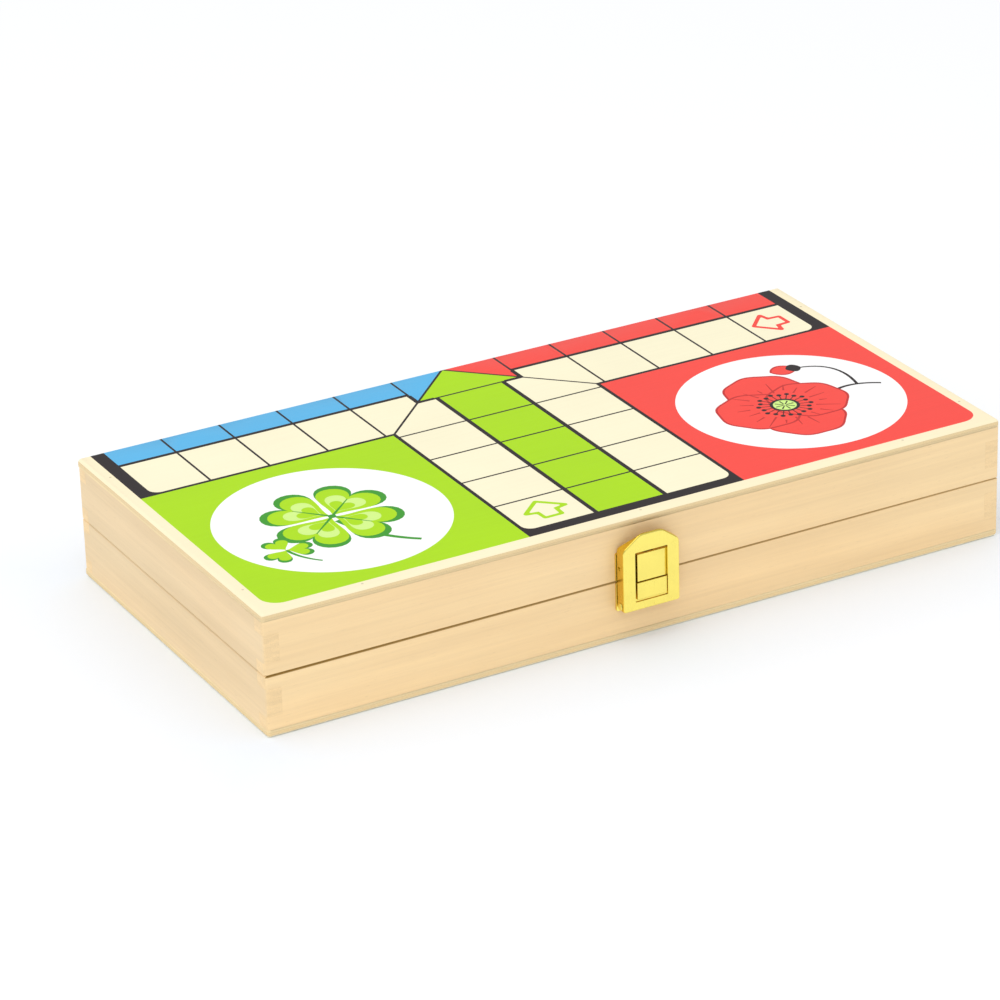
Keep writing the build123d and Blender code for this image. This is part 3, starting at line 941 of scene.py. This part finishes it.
def set_fasteners(tree, entry, head, shank, turn=0.0):
    """Puts a head with its shank at each place, facing along that place's outward attribute.

    Each is turned about its own axis by some angle up to turn, as it happened to be driven.
    """
    fastener = add_node(tree, "GeometryNodeJoinGeometry", (head,))
    tree.links.new(shank.outputs[0], fastener.inputs[0])
    chance = add_node(tree, "FunctionNodeRandomValue", {
        0: (0.0, 0.0, 0.0), 1: (0.0, 0.0, turn), "Seed": 4}, data_type="FLOAT_VECTOR")
    driven = add_node(tree, "FunctionNodeEulerToRotation", (chance,))
    outward = add_node(tree, "GeometryNodeInputNamedAttribute", {"Name": "outward"},
                       data_type="FLOAT_VECTOR")
    facing = add_node(tree, "FunctionNodeAlignRotationToVector", {
        "Rotation": driven, "Vector": outward}, axis="Z")
    placed = add_node(tree, "GeometryNodeInstanceOnPoints", {
        "Points": entry["Places"], "Instance": fastener, "Rotation": facing})
    solid = add_node(tree, "GeometryNodeRealizeInstances", {"Geometry": placed})
    finished = add_node(tree, "GeometryNodeSetMaterial", {
        "Geometry": solid, "Material": entry["Material"]})
    add_node(tree, "NodeGroupOutput", {"Fasteners": finished})


def domed_fastener_tree():
    """A nail or a rivet: a domed head on its shank, with the seat of the head at the place."""
    tree, entry = fastener_tree("domed_fastener", (
        "Head Diameter", "Crown Height", "Shank Width", "Shank Length"))
    ball = add_node(tree, "GeometryNodeMeshUVSphere", {"Segments": 28, "Rings": 14, "Radius": 1.0})
    where = add_node(tree, "GeometryNodeInputPosition")
    parts = add_node(tree, "ShaderNodeSeparateXYZ", (where,)).outputs
    radius = add_node(tree, "ShaderNodeMath", (entry["Head Diameter"], 0.5), operation="MULTIPLY")
    above = add_node(tree, "ShaderNodeMath", (parts["Z"], 0.0), operation="MAXIMUM")
    crown = add_node(tree, "ShaderNodeCombineXYZ", [
        add_node(tree, "ShaderNodeMath", factors, operation="MULTIPLY") for factors in (
            (parts["X"], radius), (parts["Y"], radius), (above, entry["Crown Height"]))])
    head = add_node(tree, "GeometryNodeSetPosition", {"Geometry": ball, "Position": crown})
    width, reach = entry["Shank Width"], entry["Shank Length"]
    shank_size = add_node(tree, "ShaderNodeCombineXYZ", (width, width, reach))
    shank = add_node(tree, "GeometryNodeMeshCube", {"Size": shank_size})
    half = add_node(tree, "ShaderNodeMath", (reach, -0.5), operation="MULTIPLY")
    set_fasteners(tree, entry, head, lowered(tree, shank, half))
    return tree


def slotted_screw_tree():
    """A countersunk screw with a slot, its head's face at the place."""
    tree, entry = fastener_tree("slotted_screw", (
        "Head Diameter", "Head Depth", "Shank Diameter", "Shank Length", "Slot Width",
        "Slot Depth"))
    head_radius, shank_radius, down, cut_depth = (
        add_node(tree, "ShaderNodeMath", (entry[size], factor), operation="MULTIPLY")
        for size, factor in (("Head Diameter", 0.5), ("Shank Diameter", 0.5),
                             ("Head Depth", -1.0), ("Slot Depth", 2.0)))
    cone = add_node(tree, "GeometryNodeMeshCone", {
        "Vertices": 32, "Radius Top": head_radius, "Radius Bottom": shank_radius,
        "Depth": entry["Head Depth"]})
    cutter_size = add_node(tree, "ShaderNodeCombineXYZ", (
        entry["Head Diameter"], entry["Slot Width"], cut_depth))
    cutter = add_node(tree, "GeometryNodeMeshCube", {"Size": cutter_size})
    head = add_node(tree, "GeometryNodeMeshBoolean", {
        "Mesh 1": lowered(tree, cone, down), "Mesh 2": cutter},
        operation="DIFFERENCE", solver="EXACT")
    reach = entry["Shank Length"]
    shank = add_node(tree, "GeometryNodeMeshCylinder", {
        "Vertices": 24, "Radius": shank_radius, "Depth": reach})
    half = add_node(tree, "ShaderNodeMath", (reach, -0.5, down), operation="MULTIPLY_ADD")
    set_fasteners(tree, entry, head, lowered(tree, shank, half), math.pi)
    return tree


def seat(box, axis, side, crown=0.0):
    """The seat of a fastener's head and the way it faces, from its box.

    The head is at the low end of the axis for side 0 and at the high end for side 1, and rises
    by its crown above the seat.
    """
    low, high = box
    out = 2 * side - 1
    place = (low + high) / 2
    place[axis] = box[side][axis] - out * crown
    facing = Vector((0.0, 0.0, 0.0))
    facing[axis] = out
    return place, facing


def fasteners(name, tree, places, body, node, material, sizes):
    """Runs a fastener tree at places, each a point and its outward direction, as one piece."""
    points = bpy.data.meshes.new(name + "_places")
    points.from_pydata([p for p, _ in places], [], [])
    outward = points.attributes.new("outward", "FLOAT_VECTOR", "POINT")
    for i, (_, direction) in enumerate(places):
        outward.data[i].vector = direction
    carrier = bpy.data.objects.new(name + "_carrier", points)
    bpy.context.scene.collection.objects.link(carrier)
    modifier = carrier.modifiers.new("fasteners", "NODES")
    modifier.node_group = tree
    values = dict(sizes, Material=material)
    for item in tree.interface.items_tree:
        if item.in_out == "INPUT" and item.name in values:
            modifier[item.identifier] = values[item.name]
    made = bpy.data.meshes.new_from_object(
        carrier.evaluated_get(bpy.context.evaluated_depsgraph_get()))
    bpy.data.objects.remove(carrier)
    bpy.data.meshes.remove(points)
    if not made.polygons:
        raise RuntimeError(name + " came out empty")
    made.name = name
    smooth_below(made, 40)
    return new_piece(name, made, body, [node])


# ------------------------------------------------------------ operators
def make_inks(colours):
    """The print's materials by ink name."""
    rgb = {ink: getattr(colours, ink) for ink in (
        "green", "red", "yellow", "blue", "line", "square", "ground", "white")}
    rgb |= {"filler": shade(colours.ground, 0.7), "leaf green": linear("3E9B2E"),
            "pale green": linear("D2F38A"), "dark red": linear("C9302E"),
            "dark blue": linear("2C78C2"), "dark yellow": linear("E99A17")}
    made = {}
    for ink, value in rgb.items():
        kind = "cream_primer" if ink == "ground" else "screen_ink_" + ink.replace(" ", "_")
        made[ink] = varnished_ink(kind, value)
    return made


def give_material(node, material):
    """Puts a material on a solid that is shown as it is."""
    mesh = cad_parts[node].data
    mesh.materials.clear()
    mesh.materials.append(material)


class LUDOBOX_OT_walls(bpy.types.Operator):
    """Makes the basswood walls of both trays, with their grain and sawn ends"""
    bl_idname = "ludobox.walls"
    bl_label = "Walls"

    def execute(self, context):
        wood = context.scene.ludobox_wood
        # The seam's painted shade is strong on the front and back walls and faint on the side
        # walls, following where the light falls.
        long_grain = basswood("planed_basswood_long_walls", 0, wood.long_wall, wood.seam_long,
                              wood)
        short_grain = basswood("planed_basswood_short_walls", 1, wood.short_wall, wood.seam_short,
                               wood)
        for half in (BASE, LID):
            for sides, material, edge_round in (
                    (("front", "back"), long_grain, wood.edge_round),
                    (("left", "right"), short_grain, wood.edge_round / 2)):
                for side in sides:
                    dressed_solid(f"{half}_{side}_board", f"{half}_{side}_wall", half,
                                  material, edge_round)
        return {"FINISHED"}


class LUDOBOX_OT_board(bpy.types.Operator):
    """Makes the two plywood panels with the game board printed across them"""
    bl_idname = "ludobox.board"
    bl_label = "Printed panels"

    def execute(self, context):
        size = context.scene.ludobox_print
        inks = make_inks(size)
        layers = board_layers(size)
        for half, face_z in ((BASE, base_face_z), (LID, lid_face_z)):
            bare = plywood(f"sanded_plywood_{half}", context.scene.ludobox_wood, face_z)
            printed_panel(half, filler_spots(half, size.filler) + layers, inks, bare)
        return {"FINISHED"}


class LUDOBOX_OT_brads(bpy.types.Operator):
    """Gives the steel brads inside the walls their finish"""
    bl_idname = "ludobox.brads"
    bl_label = "Brads"

    def execute(self, context):
        steel = drawn_steel("drawn_steel_wire", context.scene.ludobox_metal.steel)
        for half in (BASE, LID):
            give_material(half + "_panel_brads", steel)
        return {"FINISHED"}


class LUDOBOX_OT_hinges(bpy.types.Operator):
    """Makes the brass butt hinges with their pins and slotted screws"""
    bl_idname = "ludobox.hinges"
    bl_label = "Hinges"

    def execute(self, context):
        metal = context.scene.ludobox_metal
        plain = brass("rolled_brass", metal.hinge, 0.3, (9 * MM, 0.25 * MM, 0.25 * MM))
        turned = brass("turned_brass", metal.hinge, 0.26, (0.3 * MM, 0.3 * MM, 0.15 * MM))
        for side in ("left", "right"):
            for half in (BASE, LID):
                node = f"{side}_hinge_{half}_leaf"
                dressed_solid(node + "_brass", node, half, plain, metal.edge_round)
            give_material(side + "_hinge_pin", turned)
        # Inside leaf and wood, the heads' cones reach down as far as the knuckles do.
        head_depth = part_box("hinge_base_screws")[1].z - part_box("left_hinge_base_leaf")[0].z
        tree = slotted_screw_tree()
        for half, side in ((BASE, 1), (LID, 0)):
            node = f"hinge_{half}_screws"
            boxes = solids_of(node)
            extent = boxes[0][1] - boxes[0][0]
            fasteners(f"hinge_{half}_slotted_screws", tree,
                      [seat(box, 2, side) for box in boxes], half, node, turned, {
                          "Head Diameter": extent.x, "Head Depth": head_depth,
                          "Shank Diameter": metal.screw_shank,
                          "Shank Length": extent.z - head_depth,
                          "Slot Width": metal.slot_width, "Slot Depth": metal.slot_depth})
        return {"FINISHED"}


class LUDOBOX_OT_latch(bpy.types.Operator):
    """Makes the latch: keeper, bracket, swinging frame, rivets and nails"""
    bl_idname = "ludobox.latch"
    bl_label = "Latch"

    def execute(self, context):
        metal = context.scene.ludobox_metal
        # The plate's faces that turn away from the front get painted shade, a deeper gold.
        plate = brass("bright_brass_plate", metal.latch, 0.24, (0.3 * MM, 0.3 * MM, 8 * MM), 0.7)
        domed = brass("brass_plated_heads", metal.latch, 0.28, (0.3 * MM, 0.3 * MM, 0.3 * MM))
        for node, body in (("latch_keeper", LID), ("latch_bracket", BASE),
                           ("latch_frame", "latch_frame")):
            dressed_solid(node + "_plate", node, body, plate, metal.edge_round)
        tree = domed_fastener_tree()
        for part, body in (("keeper", LID), ("bracket", BASE)):
            node = f"latch_{part}_nails"
            boxes = solids_of(node)
            extent = boxes[-1][1] - boxes[-1][0]
            fasteners(f"latch_{part}_domed_nails", tree,
                      [seat(box, 1, 0, metal.nail_crown) for box in boxes], body,
                      node, domed, {
                          "Head Diameter": extent.x, "Crown Height": metal.nail_crown,
                          "Shank Width": metal.nail_shank,
                          "Shank Length": extent.y - metal.nail_crown})
        boxes = solids_of("latch_rivets")
        extent = boxes[-1][1] - boxes[-1][0]
        fasteners("latch_domed_rivets", tree,
                  [seat(box, 0, side, metal.rivet_crown) for side, box in enumerate(boxes)],
                  BASE, "latch_rivets", domed, {
                      "Head Diameter": extent.z, "Crown Height": metal.rivet_crown,
                      "Shank Width": metal.rivet_shank,
                      "Shank Length": extent.x - metal.rivet_crown})
        return {"FINISHED"}


class LUDOBOX_OT_stage(bpy.types.Operator):
    """Sets the floor, the soft light, the pale background and the camera"""
    bl_idname = "ludobox.stage"
    bl_label = "Stage"

    def execute(self, context):
        stage = context.scene.ludobox_stage
        make_floor(stage)
        make_sky(context.scene, stage)
        make_key_light(stage)
        make_camera(context.scene, stage)
        context.scene.view_settings.view_transform = "Standard"
        return {"FINISHED"}


def make_floor(stage):
    """A wide floor of white paper that catches the box's shadow.

    The camera sees it darker and cooler beside the box, a painted shadow that also cancels the
    wood's warm light on it, and everywhere a little brighter than its light makes it.
    """
    mesh = bpy.data.meshes.new("floor")
    half = stage.floor_half
    mesh.from_pydata([(x, y, 0) for x, y in rectangle(-half, half, -half, half)], [],
                     [(0, 1, 2, 3)])
    floor = bpy.data.objects.new("floor", mesh)
    bpy.context.scene.collection.objects.link(floor)
    floor.location.z = base_face_z - stage.floor_gap
    material, tree, place = start_material("white_paper_sweep")
    paper = add_node(tree, "ShaderNodeBsdfDiffuse", {"Color": shade(stage.floor)})
    where = add_node(tree, "ShaderNodeSeparateXYZ", {"Vector": place.outputs["Object"]}).outputs
    beside, before = (
        add_node(tree, "ShaderNodeMath", (apart_from(tree, where[axis], 0.0), reach),
                 operation="SUBTRACT")
        for axis, reach in (("X", case_high.x), ("Y", case_high.y)))
    from_box = add_node(tree, "ShaderNodeMath", (beside, before), operation="MAXIMUM")
    away = add_node(tree, "ShaderNodeMapRange", {
        "Value": from_box, "From Min": stage.floor_shadow_start, "From Max": stage.floor_shadow_end})
    # Painted shadow: beside the box, the floor that the camera sees is darker and cooler.
    painted_floor_shadow = add_node(tree, "ShaderNodeMix", {
        "Factor_Float": away, "A_Color": shade(stage.floor_shadow),
        "B_Color": shade(stage.floor)}, data_type="RGBA")
    seen_paper = add_node(tree, "ShaderNodeBsdfDiffuse", {"Color": painted_floor_shadow})
    lift = add_node(tree, "ShaderNodeEmission", {
        "Color": shade(stage.floor), "Strength": stage.floor_lift})
    lifted = add_node(tree, "ShaderNodeAddShader", (seen_paper, lift))
    rays = add_node(tree, "ShaderNodeLightPath")
    seen = add_node(tree, "ShaderNodeMixShader", (
        rays.outputs["Is Camera Ray"], paper, lifted))
    add_node(tree, "ShaderNodeOutputMaterial", {"Surface": seen})
    mesh.materials.append(material)


def make_sky(scene, stage):
    """Even light from all round: white to the camera, and dimmer where pieces mirror it."""
    world = bpy.data.worlds.new("studio")
    scene.world = world
    world.use_nodes = True
    tree = world.node_tree
    tree.nodes.clear()
    rays = add_node(tree, "ShaderNodeLightPath")
    mirrored = add_node(tree, "ShaderNodeMapRange", {
        "Value": rays.outputs["Is Glossy Ray"], "To Min": stage.sky_strength,
        "To Max": stage.sky_sheen})
    strength = add_node(tree, "ShaderNodeMath", (rays.outputs["Is Camera Ray"], mirrored),
                        operation="MAXIMUM")
    sky = add_node(tree, "ShaderNodeBackground", {
        "Color": (1.0, 1.0, 1.0, 1.0), "Strength": strength})
    add_node(tree, "ShaderNodeOutputWorld", {"Surface": sky})


def make_key_light(stage):
    """One large soft lamp, high up left of the box and a little in front, aimed at the origin."""
    lamp = bpy.data.lights.new("key", "AREA")
    lamp.energy = stage.key_power
    lamp.size = stage.key_size
    key = bpy.data.objects.new("key", lamp)
    bpy.context.scene.collection.objects.link(key)
    key.location = stage.key_place
    key.rotation_euler = (-key.location).to_track_quat("-Z", "Y").to_euler()


def make_camera(scene, stage):
    """The camera, looking a little down on the front left corner."""
    azimuth, elevation, roll = -stage.camera_azimuth, stage.camera_elevation, stage.camera_roll
    ahead = Vector((math.sin(azimuth) * math.cos(elevation),
                    math.cos(azimuth) * math.cos(elevation), -math.sin(elevation)))
    right = ahead.cross(Vector((0, 0, 1))).normalized()
    up = right.cross(ahead)
    turned_right = right * math.cos(roll) + up * math.sin(roll)
    turned_up = up * math.cos(roll) - right * math.sin(roll)
    lens = bpy.data.cameras.new("camera")
    lens.sensor_width = SENSOR_WIDTH
    lens.lens = stage.camera_lens
    camera = bpy.data.objects.new("camera", lens)
    scene.collection.objects.link(camera)
    turn = Matrix((turned_right, turned_up, -ahead)).transposed()
    camera.matrix_world = Matrix.Translation(stage.camera_place) @ turn.to_4x4()
    scene.camera = camera


class LUDOBOX_PT_panel(bpy.types.Panel):
    """Lists the box's pieces and the stage"""
    bl_idname = "LUDOBOX_PT_panel"
    bl_label = "Folding ludo board box"
    bl_space_type = "VIEW_3D"
    bl_region_type = "UI"
    bl_category = "Ludo box"

    def draw(self, context):
        for operator in OPERATORS:
            self.layout.operator(operator.bl_idname)


SETTINGS = {
    "ludobox_print": LUDOBOX_PrintSettings,
    "ludobox_wood": LUDOBOX_WoodSettings,
    "ludobox_metal": LUDOBOX_MetalSettings,
    "ludobox_stage": LUDOBOX_StageSettings,
}
OPERATORS = (LUDOBOX_OT_stage, LUDOBOX_OT_walls, LUDOBOX_OT_board, LUDOBOX_OT_brads,
             LUDOBOX_OT_hinges, LUDOBOX_OT_latch)
CLASSES = (*SETTINGS.values(), *OPERATORS, LUDOBOX_PT_panel)


def register():
    """Adds the settings, the operators and the panel."""
    for made in CLASSES:
        bpy.utils.register_class(made)
    for name, settings in SETTINGS.items():
        setattr(bpy.types.Scene, name, bpy.props.PointerProperty(type=settings))


def unregister():
    """Takes away what register added."""
    for name in SETTINGS:
        delattr(bpy.types.Scene, name)
    for made in reversed(CLASSES):
        bpy.utils.unregister_class(made)


def main():
    """Makes the stage and every piece."""
    register()
    bpy.ops.ludobox.stage()
    bpy.ops.ludobox.walls()
    bpy.ops.ludobox.board()
    bpy.ops.ludobox.brads()
    bpy.ops.ludobox.hinges()
    bpy.ops.ludobox.latch()


if __name__ == "__main__":
    main()
